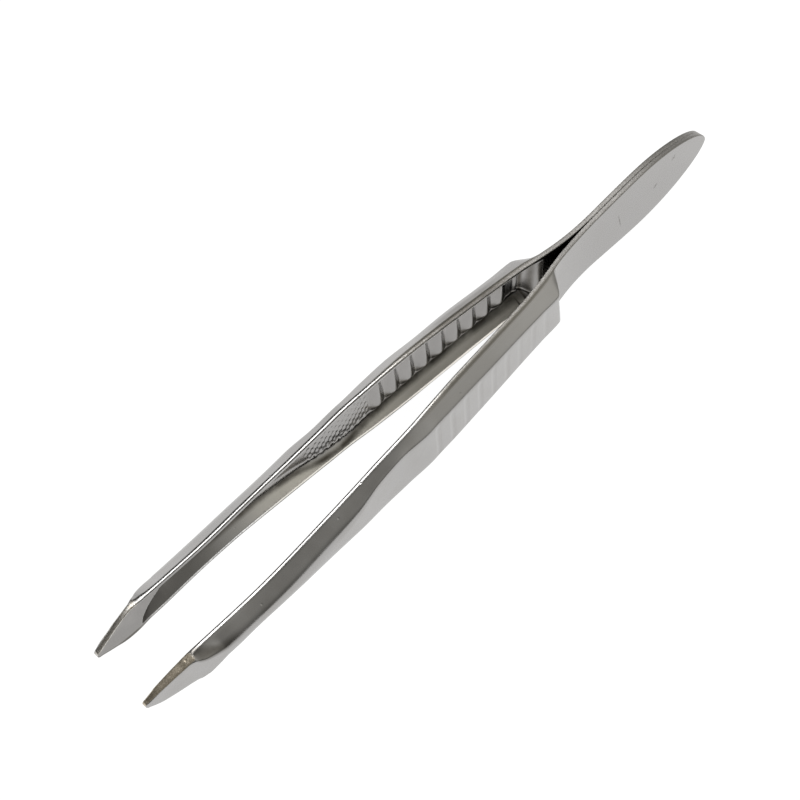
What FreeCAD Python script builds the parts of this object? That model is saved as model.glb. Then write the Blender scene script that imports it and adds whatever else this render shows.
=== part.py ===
import FreeCAD, Part
import math
import os

# Tweezers of two stamped steel legs, mirror images of each other, spot welded face to face at
# the tail. They lie on their side edges, as they come to rest on a table.
# +X runs to the tips, +Y to the front leg, +Z across the width of the legs.
# The origin is midway along the length, between the legs, on the surface they lie on.
# Lengths are in millimetres and angles in degrees.

# Sheet
SHEET = 0.65
EDGE_FLAT = 0.4          # flat that is ground along the free edges of the channel

# Lengths along a leg, from the tail to the tip
LEAF_LENGTH = 22.0       # tail leaves that lie face to face
NECK_LENGTH = 11.6       # flat stretch that bends outward
GRIP_LENGTH = 38.5       # channel with ribs and pad
FORE_LENGTH = 22.3       # channel that fades into a trough
BLADE_LENGTH = 5.6       # solid pointed tip
GRIP_SHARE = 0.48        # of the grip's length, from the shoulder to its widest place
FORE_SHARE = 0.55        # of the fore-leg's length, to its slimmest place

# Widths across a leg
LEAF_WIDTH = 9.4
LEAF_ROUND = 13.0        # length of the rounded end of the leaf
LEAF_POINT = 1.8         # roundness of that end: 2 is an ellipse, less is more pointed
NECK_WIDTH = 7.94
SHOULDER_WIDTH = 7.94
GRIP_WIDTH = 8.9
PAD_WIDTH = 5.8
FORE_WIDTH = 4.1
BLADE_WIDTH = 4.7
NOSE_RADIUS = 0.4

# How the legs part
NECK_LEAN = 11.3         # lean of a leg at the foot of the neck
GRIP_LEAN = 5.5          # lean where the grip has settled
SETTLE_LENGTH = 4.5      # from the shoulder to there
PARALLEL_BACK = 12.0     # distance from the tip to where the legs run parallel
TOE_IN = 2.5             # lean of the tips towards each other

# Channel: outward depth of the web's outer face, and width of the web between its folds
SHOULDER_DEPTH = 2.65
GRIP_DEPTH = 2.2
PAD_DEPTH = 1.9
FORE_DEPTH = 2.15
BLADE_DEPTH = 1.4
SHOULDER_WEB = 5.5
GRIP_WEB = 6.2
PAD_WEB = 6.1
FORE_WEB = 1.9
GRIP_FOLD = 0.3          # length that a fold takes from its web and its flange
FORE_FOLD = 0.7
FOLD_SHARE = 0.6         # most that it may take of half the web
WEB_CROWN = 0.12         # how far the web between the folds bulges outward in the ribbed stretch
WALL_RUN = 2.0           # length of the slanted wall that closes the channel at the shoulder
TROUGH_BACK = 6.0        # distance from the tip to where the inside of the channel ends

# Ribs across the web
RIB_COUNT = 9
RIB_PITCH = 2.535
RIB_START = 2.75         # from the shoulder to the first crest
GROOVE_DEPTH = 0.12      # outside
GROOVE_RADIUS = 0.5
RIDGE_HEIGHT = 0.32      # inside
RIDGE_RADIUS = 0.7

# Blade
FLANK_RUN = 0.22         # how far the flanks of the blade slope in
NOSE_DEPTH = 0.75        # thickness of the tip at its nose
NOSE_WEB = 0.2           # width of the outer face at the nose

# Modelling allowances
STATIONS = 14            # sections in each loft of the channel
OUTLINE_POINTS = 20
NOSE_STEPS = 4
OVERRUN = 1.0            # how far a cutting tool runs past what it cuts

# Stations, measured from the tail end
LEAVES_PART = LEAF_LENGTH
SHOULDER = LEAVES_PART + NECK_LENGTH
PAD_END = SHOULDER + GRIP_LENGTH
BLADE_START = PAD_END + FORE_LENGTH
LENGTH = BLADE_START + BLADE_LENGTH
WALL_START = SHOULDER - WALL_RUN
PARALLEL = LENGTH - PARALLEL_BACK
TROUGH_END = LENGTH - TROUGH_BACK
NOSE_CENTRE = LENGTH - NOSE_RADIUS
RIB_END = SHOULDER + RIB_START + RIB_PITCH * (RIB_COUNT - 1)
NECK = (LEAVES_PART + SHOULDER) / 2
GRIP = SHOULDER + GRIP_LENGTH * GRIP_SHARE
FORE = PAD_END + FORE_LENGTH * FORE_SHARE
PAD_MIDDLE = (RIB_END + PAD_END) / 2


def smooth(stations, x):
    """A curve through (place, value) stations that never runs past them."""
    places = [place for place, value in stations]
    values = [value for place, value in stations]
    if x <= places[0]:
        return values[0]
    if x >= places[-1]:
        return values[-1]
    slopes = [(values[i + 1] - values[i]) / (places[i + 1] - places[i]) for i in range(len(places) - 1)]
    tangents = [0.0]
    for before, after in zip(slopes, slopes[1:]):
        same_way = before * after > 0
        tangents.append(2 * before * after / (before + after) if same_way else 0.0)
    tangents.append(slopes[-1])
    i = max(index for index, place in enumerate(places) if place <= x)
    span = places[i + 1] - places[i]
    t = (x - places[i]) / span
    return ((1 + 2 * t) * (1 - t) ** 2 * values[i]
            + t * (1 - t) ** 2 * span * tangents[i]
            + t * t * (3 - 2 * t) * values[i + 1]
            + t * t * (t - 1) * span * tangents[i + 1])


def half_width(x):
    """Half the width of a leg's outline, from the widest place of the leaf to the nose."""
    if x > NOSE_CENTRE:
        return math.sqrt(max(NOSE_RADIUS ** 2 - (x - NOSE_CENTRE) ** 2, 0.0)) + FLANK_RUN
    if x > BLADE_START:
        taper = (BLADE_WIDTH / 2 - NOSE_RADIUS - FLANK_RUN) / (NOSE_CENTRE - BLADE_START)
        return BLADE_WIDTH / 2 - taper * (x - BLADE_START)
    return smooth([(LEAF_ROUND, LEAF_WIDTH / 2),
                   (NECK, NECK_WIDTH / 2),
                   (SHOULDER, SHOULDER_WIDTH / 2),
                   (GRIP, GRIP_WIDTH / 2),
                   (PAD_END, PAD_WIDTH / 2),
                   (FORE, FORE_WIDTH / 2),
                   (BLADE_START, BLADE_WIDTH / 2)], x)


def inner_face(x):
    """Distance of a leg's inner plane from the middle plane: its lean, added up along the leg."""
    def slope(angle):
        return math.tan(math.radians(angle))

    leans = [(LEAVES_PART, 0.0), (SHOULDER, slope(NECK_LEAN)), (SHOULDER + SETTLE_LENGTH, slope(GRIP_LEAN)),
             (PARALLEL, 0.0), (LENGTH, -slope(TOE_IN))]
    distance = 0.0
    for (start, start_lean), (end, end_lean) in zip(leans, leans[1:]):
        run = min(x, end) - start
        if run > 0:
            distance += run * (start_lean + (end_lean - start_lean) * run / (end - start) / 2)
    return distance


def web_depth(x):
    """Outward depth of the web's outer face from the inner plane."""
    if x > BLADE_START:
        return BLADE_DEPTH + (NOSE_DEPTH - BLADE_DEPTH) * (x - BLADE_START) / BLADE_LENGTH
    return smooth([(SHOULDER, SHOULDER_DEPTH),
                   (GRIP, GRIP_DEPTH),
                   (PAD_MIDDLE, PAD_DEPTH),
                   (FORE, FORE_DEPTH),
                   (BLADE_START, BLADE_DEPTH)], x)


def floor_depth(x):
    """Outward depth of the web's inner face, which comes up to the inner plane before the blade."""
    return smooth([(SHOULDER, SHOULDER_DEPTH - SHEET),
                   (GRIP, GRIP_DEPTH - SHEET),
                   (PAD_MIDDLE, PAD_DEPTH - SHEET),
                   (FORE, FORE_DEPTH - SHEET),
                   (TROUGH_END, 0.0),
                   (TROUGH_END + OVERRUN, -SHEET / 2)], x)


def half_web(x):
    """Half the width of the web between its folds."""
    if x > BLADE_START:
        return max(half_width(x) - FLANK_RUN, NOSE_WEB / 2)
    return smooth([(SHOULDER, SHOULDER_WEB / 2),
                   (RIB_END, GRIP_WEB / 2),
                   (PAD_MIDDLE, PAD_WEB / 2),
                   (FORE, FORE_WEB / 2),
                   (BLADE_START, BLADE_WIDTH / 2 - FLANK_RUN)], x)


def fold(x):
    """Length that a fold takes from the flat faces beside it."""
    take = smooth([(SHOULDER, GRIP_FOLD), (PAD_END, GRIP_FOLD), (FORE, FORE_FOLD), (BLADE_START, GRIP_FOLD)], x)
    return min(take, half_web(x) * FOLD_SHARE)


def crown(x):
    return smooth([(RIB_END, WEB_CROWN), (PAD_MIDDLE, 0.0)], x)


def point_at(x, across, out):
    return FreeCAD.Vector(x, inner_face(x) + out, across)


def curve(control_points):
    bezier = Part.BezierCurve()
    bezier.setPoles(control_points)
    return bezier.toShape()


def both_sides(x, profile):
    """The same (across, out) points on the low and the high side of a leg at x."""
    return [[point_at(x, side * across, out) for across, out in profile] for side in (-1, 1)]


def outer_section(x, depth):
    """Outside of the channel at x: ground edges, flanges, folds and a crowned web, closed on the
    inner plane."""
    edge = half_width(x)
    web = half_web(x)
    slide = fold(x) / math.hypot(edge - web, depth - EDGE_FLAT)
    foot = (web + (edge - web) * slide, depth + (EDGE_FLAT - depth) * slide)
    profile = [(edge, 0.0), (edge, EDGE_FLAT), foot, (web, depth), (web - fold(x), depth)]
    low, high = both_sides(x, profile)
    middle = point_at(x, 0.0, depth + crown(x))
    return Part.Wire([Part.makeLine(low[0], low[1]), Part.makeLine(low[1], low[2]), curve(low[2:5]),
                      curve([low[4], middle, high[4]]), curve(high[4:1:-1]),
                      Part.makeLine(high[2], high[1]), Part.makeLine(high[1], high[0]),
                      Part.makeLine(high[0], low[0])])


def cavity_section(x, depth, floor):
    """Inside of the channel at x, one sheet in from the flanges, open past the inner plane."""
    edge = half_width(x)
    run = edge - half_web(x)
    rise = depth - EDGE_FLAT
    flange = math.hypot(run, rise)

    def wall(out):
        """Half the room between the flanges at this depth."""
        return edge - SHEET * rise / flange - (out - EDGE_FLAT + SHEET * run / flange) * run / rise

    web = wall(floor)
    take = min(fold(x), web * FOLD_SHARE)
    slide = take / flange
    foot = (web + run * slide, floor - rise * slide)
    low, high = both_sides(x, [(wall(-OVERRUN), -OVERRUN), foot, (web, floor), (web - take, floor)])
    middle = point_at(x, 0.0, floor + crown(x))
    return Part.Wire([Part.makeLine(low[0], low[1]), curve(low[1:4]), curve([low[3], middle, high[3]]),
                      curve(high[3:0:-1]), Part.makeLine(high[1], high[0]), Part.makeLine(high[0], low[0])])


def spread(start, end, count):
    return [start + (end - start) * i / (count - 1) for i in range(count)]


def rib(x, radius, out, height, length):
    """A bar across the web whose crest stands this height in from the face at this depth."""
    centre = point_at(x, -length / 2, out + crown(x) / 2 - height + radius)
    return Part.makeCylinder(radius, length, centre, FreeCAD.Vector(0, 0, 1))


def rib_places():
    return [SHOULDER + RIB_START + RIB_PITCH * i for i in range(RIB_COUNT)]


def channel_outside():
    """End wall, channel and blade as one solid, with the rib grooves pressed into the web."""
    wall = Part.makeLoft([outer_section(WALL_START, SHEET), outer_section(SHOULDER, web_depth(SHOULDER))],
                         True, True)
    body = Part.makeLoft([outer_section(x, web_depth(x)) for x in spread(SHOULDER, BLADE_START, STATIONS)],
                         True, True)
    nose = [NOSE_CENTRE + NOSE_RADIUS * math.sin(math.pi / 2 * i / NOSE_STEPS) for i in range(NOSE_STEPS + 1)]
    blade = Part.makeLoft([outer_section(x, web_depth(x)) for x in [BLADE_START] + nose], True, True)
    for x in rib_places():
        flat_width = 2 * (half_web(x) - fold(x))
        body = body.cut(rib(x, GROOVE_RADIUS, web_depth(x), GROOVE_DEPTH, flat_width))
    return wall.fuse([body, blade])


def channel_inside():
    """The space inside the channel, less the rib ridges that stand into it. Its end wall is one
    sheet in from the outer one, and the tool that makes it starts half a sheet past the inner plane."""
    wall_angle = math.atan2(SHOULDER_DEPTH - SHEET, WALL_RUN)
    foot = SHOULDER + SHEET * math.tan(wall_angle / 2)
    past = SHEET / 2
    wall_start = foot - (floor_depth(foot) + past) / math.tan(wall_angle)
    wall = Part.makeLoft([cavity_section(wall_start, SHOULDER_DEPTH, -past),
                          cavity_section(foot, web_depth(foot), floor_depth(foot))], True, True)
    places = spread(foot, TROUGH_END, STATIONS) + [TROUGH_END + OVERRUN]
    trough = Part.makeLoft([cavity_section(x, web_depth(x), floor_depth(x)) for x in places], True, True)
    for x in rib_places():
        from_fold_to_fold = 2 * half_web(x) + SHEET
        trough = trough.cut(rib(x, RIDGE_RADIUS, floor_depth(x), RIDGE_HEIGHT, from_fold_to_fold))
    return wall.fuse(trough)


def through(points):
    spline = Part.BSplineCurve()
    spline.interpolate(points)
    return spline.toShape()


def side_band():
    """The flat sheet seen from the side: a straight leaf, then the neck to past the shoulder."""
    tail = FreeCAD.Vector(0, 0, -LEAF_WIDTH)
    sheet = FreeCAD.Vector(0, SHEET, 0)
    inner = [FreeCAD.Vector(x, inner_face(x), -LEAF_WIDTH)
             for x in spread(LEAVES_PART, SHOULDER + OVERRUN, OUTLINE_POINTS)]
    outer = [point + sheet for point in reversed(inner)]
    face = Part.Face(Part.Wire([Part.makeLine(tail, inner[0]), through(inner),
                                Part.makeLine(inner[-1], outer[0]), through(outer),
                                Part.makeLine(outer[-1], tail + sheet), Part.makeLine(tail + sheet, tail)]))
    return face.extrude(FreeCAD.Vector(0, 0, 2 * LEAF_WIDTH))


def leaf_outline():
    """The tail and neck: a rounded end, then the waist that runs into the shoulder."""
    power = 2 / LEAF_POINT
    turns = [math.pi / 2 * i / OUTLINE_POINTS for i in range(-OUTLINE_POINTS, OUTLINE_POINTS + 1)]
    rounded = [FreeCAD.Vector(LEAF_ROUND * (1 - math.cos(turn) ** power), 0,
                              math.copysign(LEAF_WIDTH / 2 * abs(math.sin(turn)) ** power, turn))
               for turn in turns]
    high = [FreeCAD.Vector(x, 0, half_width(x)) for x in spread(LEAF_ROUND, SHOULDER - WALL_RUN / 2, OUTLINE_POINTS)]
    low = [FreeCAD.Vector(p.x, 0, -p.z) for p in reversed(high)]
    return Part.Wire([through(rounded), through(high), Part.makeLine(high[-1], low[0]), through(low)])


def leaf():
    """The tail leaf and neck: sheet of the leaf's outline, bent to the side band."""
    face = Part.Face(leaf_outline())
    face.translate(FreeCAD.Vector(0, -OVERRUN, 0))
    reach = inner_face(SHOULDER) + SHEET + 2 * OVERRUN
    return face.extrude(FreeCAD.Vector(0, reach, 0)).common(side_band())


def leg():
    """One leg, the front one: tail leaf, neck, channel and blade, as one sheet."""
    return leaf().fuse(channel_outside()).cut(channel_inside())


def placed(shape):
    """From the tail end and mid width to the origin of the whole."""
    lift = max(LEAF_WIDTH, GRIP_WIDTH) / 2
    shape.translate(FreeCAD.Vector(-LENGTH / 2, 0, lift))
    return shape


def build():
    front = leg()
    back = front.mirror(FreeCAD.Vector(0, 0, 0), FreeCAD.Vector(0, 1, 0))
    os.makedirs("parts", exist_ok=True)
    for name, shape in (("front_leg", front), ("back_leg", back)):
        placed(shape)
        print(name, "valid", shape.isValid(), "solids", len(shape.Solids), "volume", round(shape.Volume, 1))
        shape.exportStep("parts/" + name + ".step")


build()
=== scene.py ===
import math
import bmesh
import bpy
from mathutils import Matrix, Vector


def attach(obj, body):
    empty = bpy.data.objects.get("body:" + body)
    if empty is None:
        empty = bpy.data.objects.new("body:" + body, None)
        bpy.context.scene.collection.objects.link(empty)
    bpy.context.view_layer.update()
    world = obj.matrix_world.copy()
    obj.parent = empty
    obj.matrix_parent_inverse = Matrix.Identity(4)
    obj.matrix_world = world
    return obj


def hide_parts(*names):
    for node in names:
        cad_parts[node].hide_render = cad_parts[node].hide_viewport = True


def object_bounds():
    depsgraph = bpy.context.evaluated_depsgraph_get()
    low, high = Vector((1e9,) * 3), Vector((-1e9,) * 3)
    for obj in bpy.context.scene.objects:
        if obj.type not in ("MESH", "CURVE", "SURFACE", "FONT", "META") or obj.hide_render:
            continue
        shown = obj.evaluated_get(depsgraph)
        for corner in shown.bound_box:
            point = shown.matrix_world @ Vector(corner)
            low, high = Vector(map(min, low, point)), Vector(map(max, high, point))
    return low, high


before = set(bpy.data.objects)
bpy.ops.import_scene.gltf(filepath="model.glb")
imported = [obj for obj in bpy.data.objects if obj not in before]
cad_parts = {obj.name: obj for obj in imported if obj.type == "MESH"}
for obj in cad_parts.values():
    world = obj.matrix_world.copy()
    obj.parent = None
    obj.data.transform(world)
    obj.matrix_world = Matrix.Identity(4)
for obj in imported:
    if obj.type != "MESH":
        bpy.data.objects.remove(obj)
cad_low, cad_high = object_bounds()

# Front leg
# The leg nearest the viewer, stamped from one piece of sheet steel: a leaf, a neck, a channel with
# slanted sides and ribs pressed across its web, a checkered pad, and a solid ground blade. It is
# plated bright, tumbled, and spot-welded to the back leg at the leaf.

# Sizes are in millimetres. Places along a leg are measured from the tail end.
MM = 0.001
LENGTH = (cad_high.x - cad_low.x) / MM
MIDDLE_HEIGHT = (cad_high.z + cad_low.z) / 2 / MM
SHEET = 0.65
LEAVES_PART = 22.0
WALL_START = 31.7
SHOULDER = 33.6
PAD_START = 57.6
PAD_FINISH = 68.2
BLADE = 93.0
NOSE_RADIUS = 0.42
TAIL_END = 0.3
LEAF_ROUND = 13.0
LEAF_POINT = 1.8
LEAF_HALF_WIDTH = 4.7

# Half the width of the outline, half the width of the web, how deep the channel is, how far a fold
# is rounded, and how many degrees the leg leans, each as (place along the leg, value).
WIDTHS = [(LEAF_ROUND, LEAF_HALF_WIDTH), (27.5, 3.97), (SHOULDER, 3.97), (52.0, 4.45), (72.0, 2.9),
          (84.5, 2.03), (BLADE, 2.28), (94.2, 2.24), (95.3, 2.06), (96.4, 1.79), (97.5, 1.46),
          (98.65, 1.0), (LENGTH - NOSE_RADIUS, NOSE_RADIUS + 0.1)]
WEBS = [(SHOULDER, 2.68), (45.0, 2.84), (54.0, 3.0), (58.0, 3.0), (62.0, 3.12), (66.0, 2.7),
        (70.0, 1.87), (74.0, 1.35), (78.0, 1.03), (82.0, 0.78), (86.0, 0.64), (90.0, 0.7),
        (91.2, 1.1), (92.2, 1.5), (BLADE, 1.85), (93.5, 2.05)]
DEPTHS = [(SHOULDER, 2.82), (37.0, 2.5), (42.0, 2.35), (48.0, 2.28), (53.0, 2.2), (58.0, 2.02),
          (62.0, 1.74), (66.0, 1.84), (70.0, 2.18), (76.0, 2.33), (84.0, 2.4), (88.0, 2.37),
          (90.0, 2.2), (91.7, 1.94), (92.6, 1.76), (BLADE, 1.6), (93.5, 1.42), (94.2, 1.22),
          (95.3, 1.17), (96.4, 1.12), (97.5, 1.02), (98.65, 0.86), (LENGTH, 0.55)]
FOLDS = [(SHOULDER, 0.28), (66.0, 0.35), (76.0, 1.0), (88.0, 0.9), (90.0, 0.5), (BLADE, 0.2), (LENGTH, 0.12)]
LEANS = [(LEAVES_PART, 0.0), (SHOULDER, 11.3), (SHOULDER + 4.5, 5.5), (LENGTH - 12.0, 0.0), (LENGTH, -2.5)]

# What is this leg's own, because no two legs are pressed, set and ground alike: the flat of its
# sheared edge, the rounds beside it, how far the leg is set off its plane, and how much deeper or
# wider it is than the shared form. Then how far its tip is cut back and its shoulder's upper
# corner reaches, how brown its blade's edge is, and whether its flange is stained.
FRONT = {"flat": [(SHOULDER, 0.6), (45.0, 0.56), (62.0, 0.54), (88.0, 0.56), (92.6, 0.56),
                  (93.2, 0.66), (93.6, 1.1), (96.0, 1.02), (98.0, 0.82), (LENGTH, 0.45)],
         "inner_round": [(SHOULDER, 0.1), (50.0, 0.2), (58.0, 0.38), (72.0, 0.34), (LENGTH, 0.28)],
         "outer_round": [(SHOULDER, 0.1), (50.0, 0.18), (60.0, 0.22), (LENGTH, 0.2)],
         "set": [(LEAVES_PART, 0.0), (SHOULDER, 0.01), (50.0, 0.0), (55.0, 0.08), (59.0, 0.14),
                 (66.0, -0.03), (86.0, -0.07), (93.0, -0.04), (96.5, -0.11), (99.0, -0.1)],
         "deeper": [(SHOULDER, 0.0), (56.0, 0.0), (58.0, 0.06), (66.0, 0.03), (72.0, 0.08), (78.0, 0.09),
                    (82.0, 0.01), (86.0, -0.08), (90.0, 0.0), (BLADE, 0.05), (97.0, -0.03), (LENGTH, 0.06)],
         "web_change": [(SHOULDER, 0.0), (LENGTH, 0.0)],
         "wider": [(BLADE, 0.0), (94.2, -0.15), (95.0, -0.22), (97.0, -0.15), (98.7, 0.0), (LENGTH, 0.0)],
         "tip_cut": 0.0, "corner_reach": 0.5, "browned": 1.0, "stained": False}


def smooth(stations, x):
    """A curve through (place, value) stations that never runs past them."""
    if x <= stations[0][0]:
        return stations[0][1]
    if x >= stations[-1][0]:
        return stations[-1][1]
    slopes = [(b[1] - a[1]) / (b[0] - a[0]) for a, b in zip(stations, stations[1:])]
    tangents = [0.0]
    for before, after in zip(slopes, slopes[1:]):
        tangents.append(2 * before * after / (before + after) if before * after > 0 else 0.0)
    tangents.append(slopes[-1])
    i = max(index for index, station in enumerate(stations) if station[0] <= x)
    span = stations[i + 1][0] - stations[i][0]
    t = (x - stations[i][0]) / span
    return ((1 + 2 * t) * (1 - t) ** 2 * stations[i][1] + t * (1 - t) ** 2 * span * tangents[i]
            + t * t * (3 - 2 * t) * stations[i + 1][1] + t * t * (t - 1) * span * tangents[i + 1])


def ease(value, start, end):
    """0 before start and 1 after end, with a soft run between."""
    t = min(max((value - start) / (end - start), 0.0), 1.0)
    return t * t * (3 - 2 * t)


def past(value, line, fade):
    """0 before a line and 1 past it, eased between the fade's two distances from the line."""
    return ease(value, line + fade[0], line + fade[1])


def bump(distance, half):
    """A rounded groove: 1 at its middle, 0 from its half width on."""
    t = abs(distance) / half
    return (1 - t * t) ** 1.5 if t < 1 else 0.0


def half_width(x):
    """Half the width of the blank's outline."""
    if x < LEAF_ROUND:
        back = min((LEAF_ROUND - x) / (LEAF_ROUND - TAIL_END), 1.0)
        return LEAF_HALF_WIDTH * max(1 - back ** LEAF_POINT, 0.0) ** (1 / LEAF_POINT)
    nose_centre = LENGTH - NOSE_RADIUS
    if x > nose_centre:
        reach = (x - nose_centre) / NOSE_RADIUS
        return WIDTHS[-1][1] * math.sqrt(max(1 - reach ** 2, 0.0))
    return smooth(WIDTHS, x)


def inner_face(x):
    """Distance of the inner plane from the middle plane: the lean of the leg, added up."""
    distance = 0.0
    for (start, start_lean), (end, end_lean) in zip(LEANS, LEANS[1:]):
        run = min(x, end) - start
        if run > 0:
            first, last = math.tan(math.radians(start_lean)), math.tan(math.radians(end_lean))
            distance += run * (first + (last - first) * run / (end - start) / 2)
    return distance


# Points on each straight and each turn of half a section, from its outer middle to its inner one,
# and where the sheared edge, the tear at its outer corner and the rim inside it lie among them.
HALF_STEPS = [8, 6, 8, 4, 2, 4, 3, 4, 6, 6, 8]
EDGE_FIRST = sum(HALF_STEPS[:3])
TEAR_LAST = sum(HALF_STEPS[:4])
EDGE_LAST = sum(HALF_STEPS[:6])
RIM_LAST = sum(HALF_STEPS[:7])

# The most of a side that one corner's round may take: a side that ends at the middle, and a side
# that two corners share.
WHOLE_SIDE = 0.96
SHARED_SIDE = 0.48


def between(a, b, share):
    """The point this share of the way from a to b."""
    return (a[0] + (b[0] - a[0]) * share, a[1] + (b[1] - a[1]) * share)


def towards(point, other, distance, most):
    """The point this far from one corner to the next, or at most this share of the way."""
    gap = math.hypot(other[0] - point[0], other[1] - point[1])
    return between(point, other, min(distance / gap, most) if gap > 0 else 0.0)


def half_ring(corners, takes):
    """Points from the outer middle over the edge to the inner middle. Each corner is rounded, and
    its round takes this much of both sides."""
    points = []
    here = corners[0]
    for index, take in enumerate(takes):
        corner = corners[index + 1]
        most_before = WHOLE_SIDE if index == 0 else SHARED_SIDE
        most_after = WHOLE_SIDE if index == len(takes) - 1 else SHARED_SIDE
        start = towards(corner, corners[index], take, most_before)
        end = towards(corner, corners[index + 2], take, most_after)
        straight, turn = HALF_STEPS[2 * index], HALF_STEPS[2 * index + 1]
        points += [between(here, start, k / straight) for k in range(straight)]
        points += [between(between(start, corner, k / turn), between(corner, end, k / turn), k / turn)
                   for k in range(turn)]
        here = end
    points += [between(here, corners[-1], k / HALF_STEPS[-1]) for k in range(HALF_STEPS[-1] + 1)]
    return points


WALL_SOFT = 0.3


def wall_blend(x, start, end):
    """How far the slanted end wall has risen at x, from 0 to 1, with its two bends eased."""
    steps = [-1.0, -0.5, 0.0, 0.5, 1.0]
    rises = [min(max((x + WALL_SOFT * step - start) / (end - start), 0.0), 1.0) for step in steps]
    return sum(rises) / len(rises)


# The end wall's inner side, how wide the rims are, how the ground blade slopes to its edge, and how
# the inner corners are rounded. The shares are of the half width.
INNER_WALL_START = 31.7
INNER_WALL_FOOT = 32.95
LEAF_RIM = 0.55
UPPER_RIM = 0.3
LOWER_RIM = 0.6
FLANK_SLOPE = 0.16
FLANK_WIDTH = 1.0
FLANK_RUN = 0.9
EDGE_ROUND = 0.08
FLOOR_ROUNDS = (0.4, 0.6)
LEAST_STEP = 0.02
LEAST_EDGE_SHARE = 0.3
LEAST_WEB_SHARE = 0.2
LEAF_WEB_SHARE = 0.8


def section(x, form, rim):
    """The sheet's cross-section at x as (across, out) points, from middle to middle on one side."""
    edge = half_width(x) + smooth(form["wider"], x)
    depth = smooth(DEPTHS, x) + smooth(form["deeper"], x)
    web = smooth(WEBS, x)
    web += (edge - FLANK_SLOPE * min(FLANK_WIDTH, edge) - web) * ease(x, BLADE, BLADE + FLANK_RUN)
    web += smooth(form["web_change"], x)
    flat, fold = smooth(form["flat"], x), smooth(FOLDS, x)
    outer_round, inner_round = smooth(form["outer_round"], x), smooth(form["inner_round"], x)
    risen = wall_blend(x, WALL_START, SHOULDER)
    leaf_web = max(edge - LEAF_RIM, edge / 2)
    web = leaf_web + (web - leaf_web) * risen
    depth = SHEET + (depth - SHEET) * risen
    flat = SHEET + (flat - SHEET) * risen
    run, rise = edge - web, max(depth - flat, LEAST_STEP)
    flange = math.hypot(run, rise)

    def wall(out):
        return edge - SHEET * rise / flange - (out - flat + SHEET * run / flange) * run / rise

    floor = max(smooth(DEPTHS, x) - SHEET, 0.0) * wall_blend(x, INNER_WALL_START, INNER_WALL_FOOT)
    inner_edge = max(min(wall(0.0), edge - rim), edge * LEAST_EDGE_SHARE)
    inner_web = min(max(wall(floor), edge * LEAST_WEB_SHARE), inner_edge)
    if edge > LEAF_RIM * 2:
        inner_edge = edge - LEAF_RIM + (inner_edge - edge + LEAF_RIM) * risen
    else:
        inner_edge = edge / 2
    inner_web = min(inner_web, inner_edge - LEAST_STEP) if floor > 0 else inner_edge * LEAF_WEB_SHARE
    corners = [(0.0, depth), (web, depth), (edge, flat), (edge, 0.0), (inner_edge, 0.0),
               (inner_web, floor), (0.0, floor)]
    floor_round = max(min(fold, FLOOR_ROUNDS[1]), FLOOR_ROUNDS[0])
    return half_ring(corners, [fold, outer_round, inner_round, EDGE_ROUND, floor_round])


def ring_at(x, form):
    """The whole section at x, upper half first, as (across, out, whether it is inside)."""
    upper = [(across, out, index > EDGE_LAST)
             for index, (across, out) in enumerate(section(x, form, UPPER_RIM))]
    lower = [(-across, out, index > EDGE_LAST)
             for index, (across, out) in enumerate(section(x, form, LOWER_RIM))]
    return upper + lower[-2:0:-1]


# What is pressed into the web: ribs that show as grooves outside and as ridges inside, a bead at
# the foot of the end wall, the pad's checks, and the mouth where the trough runs out.
RIB_COUNT = 9
RIB_PITCH = 2.535
FIRST_RIB = 36.35
GROOVE_DEPTH = 0.075
GROOVE_HALF = 0.55
GROOVE_FAINT = 0.45
GROOVES_DEEPEN = (40.0, 53.0)
RIDGE_HEIGHT = 0.58
RIDGE_HALF = 1.15
RIDGE_TOP = 0.85
RIDGE_FLARE = 0.25
RIDGE_FLARES = (-2.0, 2.0)
BEAD_PLACE = 33.5
BEAD_HALF = 0.34
BEAD_HEIGHT = 0.14
CHECK_PITCH = 1.06
CHECK_DEPTH = 0.1
CHECK_LEVEL = 0.3
PAD_RUN_IN = 0.6
PAD_RUN_OUT = 0.9
MOUTH_START = 80.0
MOUTH_END = 93.8
MOUTH_MIDDLE = 1.6
MOUTH_CURVE = 0.25
MOUTH_SLOPE = 1.3

# Where what is pressed into the web fades out, as two distances from the web's edge.
UPPER_FADE = (-0.2, 0.4)
LOWER_FADE = (-0.85, -0.15)
OUTER_FADE = (-0.5, -0.05)
PAD_FADE = (-0.7, -0.3)


def from_rib(x):
    """Distance along the leg from the crest of the nearest rib."""
    nearest = min(max(round((x - FIRST_RIB) / RIB_PITCH), 0), RIB_COUNT - 1)
    return x - FIRST_RIB - RIB_PITCH * nearest


def pressed_outside(x, across, out):
    """The out of an outer point after the grooves behind the ribs are pressed."""
    on_web = 1 - past(abs(across), smooth(WEBS, x), OUTER_FADE)
    fading = GROOVE_FAINT + (1 - GROOVE_FAINT) * ease(x, *GROOVES_DEEPEN)
    return out - GROOVE_DEPTH * fading * bump(from_rib(x), GROOVE_HALF) * on_web if x < BLADE else out


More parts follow.
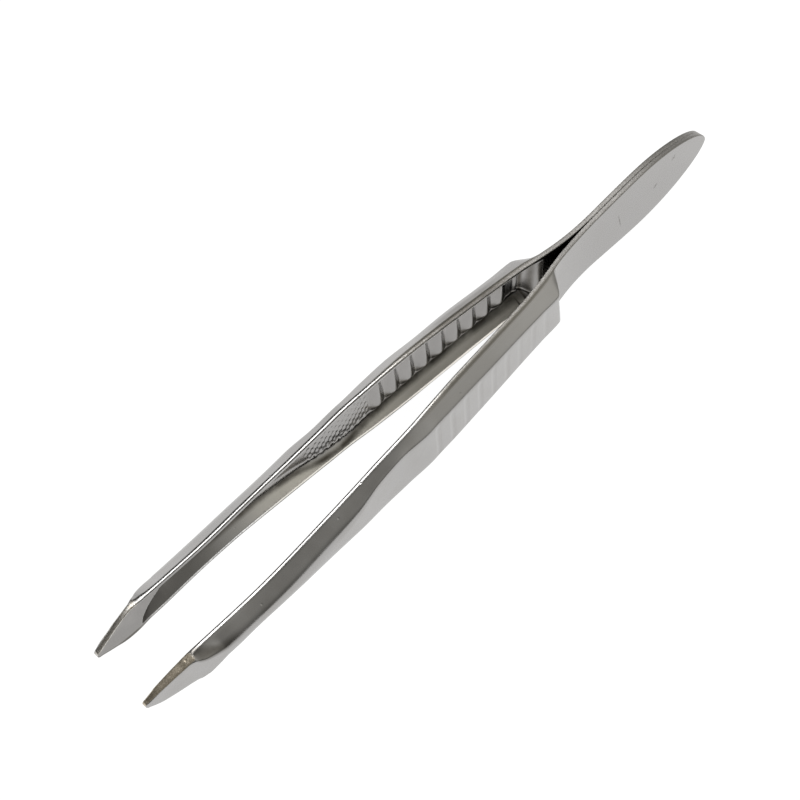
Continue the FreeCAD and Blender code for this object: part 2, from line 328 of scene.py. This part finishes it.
def pressed_inside(x, across, out):
    """The out of an inner point after the ribs, shoulder bead, pad and trough's mouth are pressed."""
    web = smooth(WEBS, x)
    on_web = 1 - (past(across, web, UPPER_FADE) if across > 0 else past(-across, web, LOWER_FADE))
    if x < BLADE:
        ridge_half = RIDGE_HALF * (RIDGE_TOP + RIDGE_FLARE * ease(-across, *RIDGE_FLARES))
        out -= RIDGE_HEIGHT * bump(from_rib(x), ridge_half) * on_web
    out -= BEAD_HEIGHT * bump(x - BEAD_PLACE, BEAD_HALF) * on_web
    on_pad = ease(x, PAD_START, PAD_START + PAD_RUN_IN) * (1 - ease(x, PAD_FINISH - PAD_RUN_OUT, PAD_FINISH))
    if on_pad > 0:
        first = math.sin(math.pi * (x + across) / CHECK_PITCH)
        second = math.sin(math.pi * (x - across) / CHECK_PITCH)
        on_face = 1 - past(abs(across), web, PAD_FADE)
        out += CHECK_DEPTH * (abs(first * second) - CHECK_LEVEL) * on_pad * on_face
    if x > MOUTH_START:
        low = across + MOUTH_MIDDLE
        mouth_end = MOUTH_END - MOUTH_CURVE * low
        if low > 0:
            mouth_end -= MOUTH_CURVE * low * low
        out = min(out, (mouth_end - x) * MOUTH_SLOPE)
    return max(out, 0.0)


# Where the rows change their step, and the step from there on: small where the form is fine.
BESIDE_SHOULDER = 1.2
BLADE_ROWS = 88.0
ROW_STOPS = [LEAF_ROUND, WALL_START - BESIDE_SHOULDER, SHOULDER + BESIDE_SHOULDER, PAD_START, PAD_FINISH,
             BLADE_ROWS, LENGTH - NOSE_RADIUS]
ROW_STEPS = [0.5, 0.07, 0.1, 0.12, 0.3, 0.12]
TAIL_ROWS = 26
NOSE_ROWS = 8


def spread(start, end, step):
    """Even places from start up to but without end, about a step apart."""
    count = max(int(round((end - start) / step)), 1)
    return [start + (end - start) * i / count for i in range(count)]


def rows():
    """Places of the rows along the leg, which follow a quarter turn at the tail and at the nose."""
    turns = [math.pi / 2 * i / TAIL_ROWS for i in range(TAIL_ROWS)]
    places = [LEAF_ROUND - (LEAF_ROUND - TAIL_END) * math.cos(turn) ** (2 / LEAF_POINT) for turn in turns]
    for start, end, step in zip(ROW_STOPS, ROW_STOPS[1:], ROW_STEPS):
        places += spread(start, end, step)
    turns = [math.pi / 2 * i / NOSE_ROWS for i in range(NOSE_ROWS + 1)]
    return places + [LENGTH - NOSE_RADIUS * (1 - math.sin(turn)) for turn in turns]


# How the end wall slants across the leg, how its upper corner reaches back, and where the cut of
# the tip starts.
WALL_MIDDLE = 0.9
WALL_SLANT = 0.1
SLANT_PIVOT = 1.5
SLANT_HALF = 5.0
CORNER_ACROSS = (1.5, 4.0)
CORNER_HALF = 3.5
TIP_CUT_RUN = 2.0


def set_in_place(x, across, out, side, form):
    """Where a point of the leg ends up: the end wall slanted, the leg leaned and the tip cut."""
    from_wall = x - SHOULDER + WALL_MIDDLE
    slant = WALL_SLANT * side * (across - SLANT_PIVOT * side) * bump(from_wall, SLANT_HALF)
    slant -= form["corner_reach"] * ease(across, *CORNER_ACROSS) * bump(from_wall, CORNER_HALF)
    along = x + slant - form["tip_cut"] * ease(x, BLADE - TIP_CUT_RUN, LENGTH) - LENGTH / 2
    away = inner_face(x) + smooth(form["set"], x) + out
    return Vector((along, side * away, across + MIDDLE_HEIGHT)) * MM


# Painted shade, a painted contact shadow, a stain and a faint darkening of the web. A pair in brackets is
# where it starts and is full, along the leg or as two distances from a line; a half is half the width of a
# band, and a share says how dark it is.
# Painted contact shadow along the lower edge, where the leg lies nearest the paper.
CONTACT_SHADOW_SHARE = 0.95
CONTACT_SHADOW_STARTS = (48.0, 54.0)
CONTACT_SHADOW_FADE = (-0.34, -0.24)
STAIN_SHARE = 0.6
STAIN_PLACE = 42.5
STAIN_HALF = 9.5
STAIN_FADE = (0.3, 0.8)
# Painted shade along the outer fold by the blade.
BLADE_FOLD_SHADE_SHARE = 0.8
BLADE_FOLD_SHADE_STARTS = (87.0, 90.0)
BLADE_FOLD_SHADE_ENDS = (0.1, 0.5)
BLADE_FOLD_SHADE_LIFT = 0.3
BLADE_FOLD_SHADE_HALF = 0.5
BLADE_FOLD_SHADE_GROWTH = 0.3
BLADE_FOLD_SHADE_GROWS = (90.5, 92.5)
CHANNEL_STARTS = (-1.5, 0.0)
CHANNEL_ENDS = (84.0, 90.0)
# Painted shade in the lower fold inside the channel.
FOLD_INSET = 0.1
FOLD_HALF = 0.5
FOLD_NARROWER = 0.2
FOLD_NARROWS = (54.0, 64.0)
# A faint darkening over the channel's inner web, less from the pad's start on.
WEB_DIM_SHARE = 0.3
WEB_DIM_FADE = (-0.4, 0.0)
WEB_DIM_LESS = 0.5
WEB_DIM_LESSENS = (0.0, 1.0)
# Painted shade on the tail side of each rib inside, wider and darker towards the lower fold.
RIB_SHADE_BACK = 0.6
RIB_SHADE_HALF = 0.5
RIB_SHADE_GROWTH = 0.3
RIB_SHADE_SHARE = 0.35
RIB_SHADE_MORE = 0.5
RIB_SHADE_LOW = (-2.0, 1.5)
# Painted shade over the inside of the trough towards the blade.
TROUGH_SHARE = 0.45
TROUGH_STARTS = (78.0, 86.0)
# Painted shade between the leaves, where the legs close in before the shoulder.
SEAM_SHARE = 0.66
SEAM_STARTS = (0.0, 3.0)
SEAM_ENDS = (-4.2, 0.3)

# Painted shade in the creases at the shoulder, where the end wall bends, as (place along the leg, half,
# share).
CREASES = [(33.0, 0.3, 1.0), (34.1, 0.22, 1.0), (32.3, 0.4, 0.8)]


def contact_shadow_line(x, across):
    """The painted contact shadow along the lower edge, from the grip forward."""
    return CONTACT_SHADOW_SHARE * ease(x, *CONTACT_SHADOW_STARTS) * past(-across, half_width(x), CONTACT_SHADOW_FADE)


def outer_stain_and_shade(x, across, is_stained):
    """Darkening outside a leg: a stain on the upper flange with the painted contact shadow along the lower
    edge, or painted shade along the fold by the blade.
    """
    web = smooth(WEBS, x)
    if is_stained:
        stain = bump(x - STAIN_PLACE, STAIN_HALF) * past(across, web, STAIN_FADE)
        return max(contact_shadow_line(x, across), STAIN_SHARE * stain)
    by_blade = ease(x, *BLADE_FOLD_SHADE_STARTS) * (1 - past(x, BLADE, BLADE_FOLD_SHADE_ENDS))
    shade_half = BLADE_FOLD_SHADE_HALF + BLADE_FOLD_SHADE_GROWTH * ease(x, *BLADE_FOLD_SHADE_GROWS)
    return BLADE_FOLD_SHADE_SHARE * (by_blade * bump(across - web - BLADE_FOLD_SHADE_LIFT, shade_half))


def inner_darkening(x, across):
    """Darkening inside a leg: painted shade in the lower fold, beside the ribs, in the trough, in the
    shoulder's creases and between the leaves, the painted contact shadow along the lower edge, and a faint
    darkening over the channel's web.
    """
    web = smooth(WEBS, x)
    on_web = 1 - past(abs(across), web, WEB_DIM_FADE)
    in_channel = past(x, SHOULDER, CHANNEL_STARTS) * (1 - ease(x, *CHANNEL_ENDS))
    fold_half = FOLD_HALF - FOLD_NARROWER * ease(x, *FOLD_NARROWS)
    low_fold = bump(-across - web + FOLD_INSET, fold_half) * in_channel
    low = ease(-across, *RIB_SHADE_LOW)
    beside_rib = bump(from_rib(x) + RIB_SHADE_BACK, RIB_SHADE_HALF + RIB_SHADE_GROWTH * low)
    beside_rib = beside_rib * (RIB_SHADE_SHARE + RIB_SHADE_MORE * low) * on_web
    trough = TROUGH_SHARE * ease(x, *TROUGH_STARTS)
    web_dim = WEB_DIM_SHARE * on_web * in_channel * (1 - WEB_DIM_LESS * past(x, PAD_START, WEB_DIM_LESSENS))
    creases = max(share * bump(x - place, half) for place, half, share in CREASES)
    seam = SEAM_SHARE * past(x, LEAVES_PART, SEAM_STARTS) * (1 - past(x, SHOULDER, SEAM_ENDS))
    return max(low_fold, beside_rib, trough, web_dim, creases, seam, contact_shadow_line(x, across))


# Where the blade's edge turns brown, where the lower rim is rubbed bright, and where the lower
# inner flange is satin and painted lighter, as if lit, in the same kinds of pairs.
BROWN_STARTS = (0.2, 0.6)
RUB_STARTS = (48.0, 54.0)
RUB_ENDS = (92.0, 93.0)
SATIN_LIT_FADE = (-0.4, 0.1)
SATIN_LIT_STARTS = (-1.0, 0.5)
SATIN_LIT_ENDS = (70.0, 80.0)


def finish_of(x, across, is_inner, from_middle, form):
    """The share of each kind of finish, of painted shade and of painted light at a point, by the name of its
    vertex layer.
    """
    sheared = 1.0 if EDGE_FIRST <= from_middle <= EDGE_LAST else 0.0
    is_low_rim = EDGE_LAST < from_middle <= RIM_LAST and across < 0
    rubbed = ease(x, *RUB_STARTS) * (1 - ease(x, *RUB_ENDS)) if is_low_rim else 0.0
    # Where the lower inner flange is satin, and painted lighter as if lit.
    satin_and_lit = past(-across, smooth(WEBS, x), SATIN_LIT_FADE) * past(x, SHOULDER, SATIN_LIT_STARTS)
    satin_and_lit = satin_and_lit * (1 - ease(x, *SATIN_LIT_ENDS)) if is_inner else 0.0
    return {"sheared": sheared,
            "shade_and_grime": inner_darkening(x, across) if is_inner else outer_stain_and_shade(x, across, form["stained"]),
            "satin_and_lit": satin_and_lit,
            "torn": 1.0 if EDGE_FIRST <= from_middle <= TEAR_LAST else 0.0,
            "rubbed": rubbed,
            "browned": form["browned"] * sheared * past(x, BLADE, BROWN_STARTS)}


FINISHES = ("sheared", "shade_and_grime", "satin_and_lit", "torn", "rubbed", "browned")
SAME_POINT = 0.002
NO_LENGTH = 0.001


def press_leg(name, side, form):
    """Presses a flat grid into a leg: one closed ring of the sheet's section at each row. Each
    point also keeps how it is finished and where shade and light are painted on it, for the material to
    read."""
    places = rows()
    rings = [ring_at(x, form) for x in places]
    around = len(rings[0])
    bm = bmesh.new()
    layers = {finish: bm.verts.layers.float.new(finish) for finish in FINISHES}
    bmesh.ops.create_grid(bm, x_segments=len(places) - 1, y_segments=around, size=1.0)
    for vert in bm.verts:
        row = round((vert.co.x + 1) / 2 * (len(places) - 1))
        column = round((vert.co.y + 1) / 2 * around) % around
        x = places[row]
        across, out, is_inner = rings[row][column]
        out = pressed_inside(x, across, out) if is_inner else pressed_outside(x, across, out)
        vert.co = set_in_place(x, across, out, side, form)
        shares = finish_of(x, across, is_inner, min(column, around - column), form)
        for finish, layer in layers.items():
            vert[layer] = shares[finish]
    bmesh.ops.remove_doubles(bm, verts=bm.verts, dist=SAME_POINT * MM)
    bmesh.ops.dissolve_degenerate(bm, edges=bm.edges, dist=NO_LENGTH * MM)
    bmesh.ops.recalc_face_normals(bm, faces=bm.faces)
    for face in bm.faces:
        face.smooth = True
    mesh = bpy.data.meshes.new(name)
    bm.to_mesh(mesh)
    bm.free()
    leg = bpy.data.objects.new(name, mesh)
    bpy.context.scene.collection.objects.link(leg)
    return leg


plated = bpy.data.materials.new("plated_steel")
plated.use_nodes = True
plate_shader = plated.node_tree.nodes["Principled BSDF"]
plate_shader.inputs["Metallic"].default_value = 1.0
nodes, links = plated.node_tree.nodes, plated.node_tree.links
own_place = nodes.new("ShaderNodeTexCoord")
own_parts = nodes.new("ShaderNodeSeparateXYZ")
links.new(own_place.outputs["Object"], own_parts.inputs[0])


def attribute(name):
    """A vertex layer of the leg."""
    node = nodes.new("ShaderNodeAttribute")
    node.attribute_name = name
    return node.outputs["Fac"]


def spread_noise(waves, detail):
    """Noise over the piece's own coordinates, with this many waves to a metre."""
    node = nodes.new("ShaderNodeTexNoise")
    node.inputs["Scale"].default_value = waves
    node.inputs["Detail"].default_value = detail
    links.new(own_place.outputs["Object"], node.inputs["Vector"])
    return node.outputs["Fac"]


def ranged(output, reach):
    """A value that runs from low to high, given as from low, from high, to low and to high."""
    node = nodes.new("ShaderNodeMapRange")
    for socket, value in zip(("From Min", "From Max", "To Min", "To Max"), reach):
        node.inputs[socket].default_value = value
    links.new(output, node.inputs["Value"])
    return node.outputs["Result"]


def worked(operation, first, second):
    """Two values put together by one sum."""
    node = nodes.new("ShaderNodeMath")
    node.operation = operation
    links.new(first, node.inputs[0])
    links.new(second, node.inputs[1])
    return node.outputs[0]


def mixed(share, under, over):
    """The colour under, mixed to the colour over it by the share."""
    node = nodes.new("ShaderNodeMix")
    node.data_type = "RGBA"
    links.new(share, node.inputs["Factor"])
    if isinstance(under, tuple):
        node.inputs["A"].default_value = under
    else:
        links.new(under, node.inputs["A"])
    node.inputs["B"].default_value = over
    return node.outputs["Result"]


# Marks on the leaf, as (along from the middle, height, turn in degrees, half length, half width).
MARKS = [(-42.7, 7.05, 43, 0.6, 0.15), (-42.75, 7.0, -40, 0.4, 0.14), (-39.3, 4.7, 30, 0.5, 0.3),
         (-32.1, 4.4, -76, 1.6, 0.13)]
MARK_EDGE = (0.5, 1.0, 1.0, 0.0)


def mark(along, height, turn, half_length, half_width):
    """A scratch or stain on the leaf: 1 inside its ellipse and 0 outside it."""
    place_node = nodes.new("ShaderNodeMapping")
    place_node.vector_type = "TEXTURE"
    place_node.inputs["Location"].default_value = (along * MM, 0.0, height * MM)
    place_node.inputs["Rotation"].default_value = (0.0, math.radians(turn), 0.0)
    place_node.inputs["Scale"].default_value = (half_length * MM, 1.0, half_width * MM)
    links.new(own_place.outputs["Object"], place_node.inputs["Vector"])
    reach = nodes.new("ShaderNodeVectorMath")
    reach.operation = "LENGTH"
    links.new(place_node.outputs["Vector"], reach.inputs[0])
    return ranged(reach.outputs["Value"], MARK_EDGE)


# Colours of the plate, of what wear and dirt make of it, and of the painted shade and painted light on it.
STEEL = (0.385, 0.376, 0.367, 1.0)
PALE_STEEL = (0.415, 0.408, 0.402, 1.0)
LEAF_STEEL = (0.33, 0.322, 0.315, 1.0)
RAW_EDGE = (0.5, 0.486, 0.468, 1.0)
TORN_EDGE = (0.24, 0.228, 0.205, 1.0)
RUBBED_EDGE = (0.96, 0.955, 0.94, 1.0)
EDGE_SPECK = (0.24, 0.225, 0.2, 1.0)
GROUND_FLANK = (0.8, 0.78, 0.74, 1.0)
BROWNED_FLANK = (0.64, 0.57, 0.46, 1.0)
FLANK_SPECK = (0.34, 0.29, 0.22, 1.0)
# A near-white colour painted on the lower inner flange, so that it looks lit.
LIT_FLANGE = (1.0, 0.97, 0.9, 1.0)
SCRATCH = (0.16, 0.15, 0.14, 1.0)
# The dark of the painted shade and the painted contact shadow, and of the back leg's stain.
SHADE_AND_GRIME = (0.075, 0.066, 0.052, 1.0)

# Places in metres and noise, each with the share it gives: from low, from high, to low, to high.
RAW_PLACES = (0.002, 0.009, 1.0, 0.0)
FLANK_PLACES = (0.0432, 0.0437, 0.0, 0.85)
LEAF_PLACES = (-0.02, -0.014, 0.5, 0.0)
OUTER_FACE = (0.0005, 0.0006, 0.0, 0.95)
STEEL_CLOUD = (0.35, 0.65, 0.0, 1.0)
SPECKS = (0.42, 0.6, 0.0, 0.7)
RUBS = (0.44, 0.5, 0.0, 1.0)
SCRATCH_GRAIN = (0.4, 0.55, 0.3, 1.0)
SHADE_AND_GRIME_CLOUD = (0.3, 0.6, 0.6, 0.95)
PLATE_ROUGHNESS = (0.3, 0.7, 0.2, 0.27)
EDGE_ROUGHNESS = (0.0, 1.0, 0.0, 0.22)
DULL_ROUGHNESS = (0.0, 1.0, 0.0, 0.32)
EDGE_GRAIN = (0.0, 1.0, 0.09, 1.0)
PIT_EDGE = (0.02, 0.09, 0.0, 1.0)

GRAIN_WAVES = 5200.0
CLOUD_WAVES = 420.0
NOISE_DETAIL = 3.0
PIT_WAVES = 520.0
GRAIN_HEIGHT = 0.000012
PIT_HEIGHT = 0.00003
PIT_STRENGTH = 0.7

grain = spread_noise(GRAIN_WAVES, NOISE_DETAIL)
cloud = spread_noise(CLOUD_WAVES, NOISE_DETAIL)
on_edge = attribute("sheared")
raw_length = ranged(own_parts.outputs["X"], RAW_PLACES)
raw_edge = worked("MULTIPLY", on_edge, raw_length)
torn_edge = worked("MULTIPLY", raw_length, attribute("torn"))
rubbed_edge = worked("MULTIPLY", attribute("rubbed"), ranged(grain, RUBS))
ground_flank = worked("MULTIPLY", on_edge, ranged(own_parts.outputs["X"], FLANK_PLACES))
specks = ranged(grain, SPECKS)
satin_and_lit_mask = attribute("satin_and_lit")
scratched = mark(*MARKS[0])
for one_mark in MARKS[1:]:
    scratched = worked("MAXIMUM", scratched, mark(*one_mark))
scratched = worked("MULTIPLY", scratched, ranged(own_parts.outputs["Y"], OUTER_FACE))
scratched = worked("MULTIPLY", scratched, ranged(grain, SCRATCH_GRAIN))
shade_and_grime_mask = worked("MULTIPLY", attribute("shade_and_grime"), ranged(cloud, SHADE_AND_GRIME_CLOUD))

colour = mixed(ranged(cloud, STEEL_CLOUD), STEEL, PALE_STEEL)
colour = mixed(raw_edge, colour, RAW_EDGE)
colour = mixed(torn_edge, colour, TORN_EDGE)
colour = mixed(rubbed_edge, colour, RUBBED_EDGE)
colour = mixed(worked("MULTIPLY", raw_edge, specks), colour, EDGE_SPECK)
colour = mixed(ground_flank, colour, GROUND_FLANK)
colour = mixed(attribute("browned"), colour, BROWNED_FLANK)
colour = mixed(worked("MULTIPLY", ground_flank, specks), colour, FLANK_SPECK)
# Painted light: the lower inner flange is made lighter, as if lit. Its roughness below is real satin.
colour = mixed(satin_and_lit_mask, colour, LIT_FLANGE)
colour = mixed(ranged(own_parts.outputs["X"], LEAF_PLACES), colour, LEAF_STEEL)
colour = mixed(scratched, colour, SCRATCH)
# Painted shade and the painted contact shadow, with the back leg's stain, darken the plate here.
colour = mixed(shade_and_grime_mask, colour, SHADE_AND_GRIME)
links.new(colour, plate_shader.inputs["Base Color"])

edge_rough = ranged(worked("ADD", raw_edge, ground_flank), EDGE_ROUGHNESS)
rough = worked("ADD", ranged(cloud, PLATE_ROUGHNESS), edge_rough)
rough = worked("ADD", rough, ranged(satin_and_lit_mask, DULL_ROUGHNESS))
links.new(rough, plate_shader.inputs["Roughness"])

pits = nodes.new("ShaderNodeTexVoronoi")
pits.inputs["Scale"].default_value = PIT_WAVES
links.new(own_place.outputs["Object"], pits.inputs["Vector"])
grain_bump = nodes.new("ShaderNodeBump")
grain_bump.inputs["Distance"].default_value = GRAIN_HEIGHT
links.new(grain, grain_bump.inputs["Height"])
links.new(ranged(raw_edge, EDGE_GRAIN), grain_bump.inputs["Strength"])
pit_bump = nodes.new("ShaderNodeBump")
pit_bump.inputs["Distance"].default_value = PIT_HEIGHT
pit_bump.inputs["Strength"].default_value = PIT_STRENGTH
links.new(ranged(pits.outputs["Distance"], PIT_EDGE), pit_bump.inputs["Height"])
links.new(grain_bump.outputs["Normal"], pit_bump.inputs["Normal"])
links.new(pit_bump.outputs["Normal"], plate_shader.inputs["Normal"])

front = press_leg("front_leg_pressed", 1, FRONT)
front.data.materials.append(plated)
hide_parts("front_leg")
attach(front, "root")

# Back leg
# The other half of the pair, stamped from the same sheet steel in the mirrored tool, plated with
# the front leg and spot-welded to it at the leaf. It is set and ground a little differently.
BACK = {"flat": [(SHOULDER, 0.65), (50.0, 0.56), (58.0, 0.44), (88.0, 0.42), (91.8, 0.44),
                 (92.6, 0.52), (93.7, 0.57), (95.0, 0.5), (98.0, 0.5), (LENGTH, 0.36)],
        "inner_round": [(SHOULDER, 0.1), (50.0, 0.16), (LENGTH, 0.16)],
        "outer_round": [(SHOULDER, 0.1), (50.0, 0.22), (LENGTH, 0.22)],
        "set": [(LEAVES_PART, 0.0), (SHOULDER, -0.1), (46.0, -0.12), (50.0, -0.12), (58.0, -0.13),
                (62.0, -0.07), (66.0, -0.17), (72.0, -0.25), (78.0, -0.27), (84.0, -0.36),
                (90.0, -0.38), (94.0, -0.3), (96.6, -0.38), (98.0, -0.39)],
        "deeper": [(SHOULDER, 0.0), (38.0, 0.07), (44.0, 0.2), (50.0, 0.04), (54.0, 0.14), (58.0, 0.03),
                   (62.0, -0.07), (66.0, -0.15), (70.0, 0.0), (88.0, 0.02), (90.0, 0.1), (91.5, 0.02),
                   (92.6, -0.14), (BLADE, -0.2), (93.75, -0.33), (94.35, -0.43), (95.5, -0.48),
                   (96.6, -0.4), (97.75, -0.27), (98.85, -0.06), (LENGTH, 0.08)],
        "wider": [(92.5, 0.0), (94.3, 0.25), (95.5, 0.3), (96.6, 0.24), (97.7, 0.06), (98.8, 0.0),
                  (LENGTH, 0.0)],
        "web_change": [(SHOULDER, 0.0), (58.0, 0.0), (62.0, -0.1), (66.0, -0.1), (70.0, 0.0), (LENGTH, 0.0)],
        "tip_cut": 0.25, "corner_reach": 0.0, "browned": 0.0, "stained": True}
back = press_leg("back_leg_pressed", -1, BACK)
back.data.materials.append(plated)
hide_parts("back_leg")
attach(back, "root")

# Table
# A white sheet of paper under the tweezers. What the viewer and the metal see of it is plain
# white, and the tweezers still shade it a little.
TABLE_SIZE = 6.0
PAPER_GREY = (0.2, 0.2, 0.2, 1.0)
PAPER_ROUGHNESS = 0.9
PAPER_WHITE = (0.0, 1.0, 0.0, 0.97)
table_mesh = bpy.data.meshes.new("table")
bm = bmesh.new()
bmesh.ops.create_grid(bm, x_segments=1, y_segments=1, size=TABLE_SIZE / 2)
bm.to_mesh(table_mesh)
bm.free()
table = bpy.data.objects.new("table", table_mesh)
bpy.context.scene.collection.objects.link(table)
paper = bpy.data.materials.new("white_paper")
paper.use_nodes = True
nodes, links = paper.node_tree.nodes, paper.node_tree.links
paper_shader = nodes["Principled BSDF"]
paper_shader.inputs["Base Color"].default_value = PAPER_GREY
paper_shader.inputs["Roughness"].default_value = PAPER_ROUGHNESS
paper_shader.inputs["Specular IOR Level"].default_value = 0.0
glow = nodes.new("ShaderNodeEmission")
glow.inputs["Color"].default_value = (1.0, 1.0, 1.0, 1.0)
path = nodes.new("ShaderNodeLightPath")
seen = worked("MAXIMUM", path.outputs["Is Camera Ray"], path.outputs["Is Glossy Ray"])
seen = worked("MAXIMUM", seen, path.outputs["Is Transmission Ray"])
links.new(ranged(seen, PAPER_WHITE), glow.inputs["Strength"])
both = nodes.new("ShaderNodeAddShader")
links.new(paper_shader.outputs[0], both.inputs[0])
links.new(glow.outputs[0], both.inputs[1])
links.new(both.outputs[0], nodes["Material Output"].inputs["Surface"])
table_mesh.materials.append(paper)

# Backdrop
# The far end of the same paper, held upright a little behind the tweezers, so that the polished
# sides have something white to mirror.
BACKDROP_HEIGHT = 0.12
BACKDROP_PLACE = -0.8
backdrop_mesh = bpy.data.meshes.new("backdrop")
bm = bmesh.new()
bmesh.ops.create_grid(bm, x_segments=1, y_segments=1, size=0.5)
bmesh.ops.scale(bm, vec=(TABLE_SIZE, BACKDROP_HEIGHT, 1.0), verts=bm.verts)
bm.to_mesh(backdrop_mesh)
bm.free()
backdrop = bpy.data.objects.new("backdrop", backdrop_mesh)
bpy.context.scene.collection.objects.link(backdrop)
backdrop.location = (0.0, BACKDROP_PLACE, BACKDROP_HEIGHT / 2)
backdrop.rotation_euler = (math.radians(90), 0.0, 0.0)
backdrop_mesh.materials.append(paper)

# Light
# A dim room whose grey changes with height, side and length, and one large soft box above it, a
# little behind the tweezers.
ROOM_BY_HEIGHT = [(-1.0, 0.45), (0.0, 0.46), (0.2, 0.42), (0.42, 0.63), (0.6, 0.85), (0.955, 0.76),
                  (0.99, 0.3), (1.0, 0.28)]
ROOM_BY_SIDE = [(-1.0, 0.16), (-0.6, 0.18), (-0.38, 0.55), (0.2, 0.9), (1.0, 1.0)]
ROOM_BY_LENGTH = [(-1.0, 1.0), (-0.5, 0.95), (-0.2, 0.42), (0.4, 0.3), (1.0, 0.3)]
ROOM_DARK = (0.02, 0.02, 0.018, 1.0)
ROOM_WHITE = (1.0, 0.985, 0.93, 1.0)
BOX_WIDTH = 0.3
BOX_DEPTH = 0.25
BOX_POWER = 1.8
BOX_WAY = (-0.19, -0.42, 0.9)
BOX_DISTANCE = 0.8
world = bpy.data.worlds.new("room")
bpy.context.scene.world = world
world.use_nodes = True
nodes, links = world.node_tree.nodes, world.node_tree.links
room_place = nodes.new("ShaderNodeTexCoord")
room_parts = nodes.new("ShaderNodeSeparateXYZ")
links.new(room_place.outputs["Generated"], room_parts.inputs[0])


def grey_ramp(output, stops):
    """A smooth change of grey along one direction of the room, from -1 to 1."""
    curve_node = nodes.new("ShaderNodeFloatCurve")
    links.new(ranged(output, (-1.0, 1.0, 0.0, 1.0)), curve_node.inputs["Value"])
    points = curve_node.mapping.curves[0].points
    points[0].location = ((stops[0][0] + 1) / 2, stops[0][1])
    points[1].location = ((stops[-1][0] + 1) / 2, stops[-1][1])
    for position, grey in stops[1:-1]:
        points.new((position + 1) / 2, grey)
    curve_node.mapping.update()
    return curve_node.outputs["Value"]


by_height = grey_ramp(room_parts.outputs["Z"], ROOM_BY_HEIGHT)
by_side = grey_ramp(room_parts.outputs["Y"], ROOM_BY_SIDE)
by_length = grey_ramp(room_parts.outputs["X"], ROOM_BY_LENGTH)
room_light = worked("MULTIPLY", worked("MULTIPLY", by_height, by_side), by_length)
links.new(mixed(room_light, ROOM_DARK, ROOM_WHITE), nodes["Background"].inputs["Color"])

box_light = bpy.data.lights.new("soft_box", "AREA")
box_light.shape = "RECTANGLE"
box_light.size = BOX_WIDTH
box_light.size_y = BOX_DEPTH
box_light.energy = BOX_POWER
box_object = bpy.data.objects.new("soft_box", box_light)
bpy.context.scene.collection.objects.link(box_object)
direction = Vector(BOX_WAY).normalized()
box_object.location = direction * BOX_DISTANCE
box_object.rotation_mode = "QUATERNION"
box_object.rotation_quaternion = direction.to_track_quat("Z", "Y")

# Camera
# The photograph's viewpoint: above the tips, on the front leg's side. The place is in millimetres
# and the turn in degrees.
LENS = 63.36
SENSOR_WIDTH = 36.0
NEAREST_SEEN = 0.01
FARTHEST_SEEN = 10.0
CAMERA_PLACE = (65.01, 66.66, 139.84)
CAMERA_TURN = (33.637, 3.843, 133.202)
camera_data = bpy.data.cameras.new("camera")
camera_data.lens = LENS
camera_data.sensor_width = SENSOR_WIDTH
camera_data.clip_start = NEAREST_SEEN
camera_data.clip_end = FARTHEST_SEEN
camera = bpy.data.objects.new("camera", camera_data)
bpy.context.scene.collection.objects.link(camera)
camera.location = Vector(CAMERA_PLACE) * MM
camera.rotation_euler = [math.radians(angle) for angle in CAMERA_TURN]
bpy.context.scene.camera = camera

bpy.context.scene.view_settings.view_transform = "Standard"
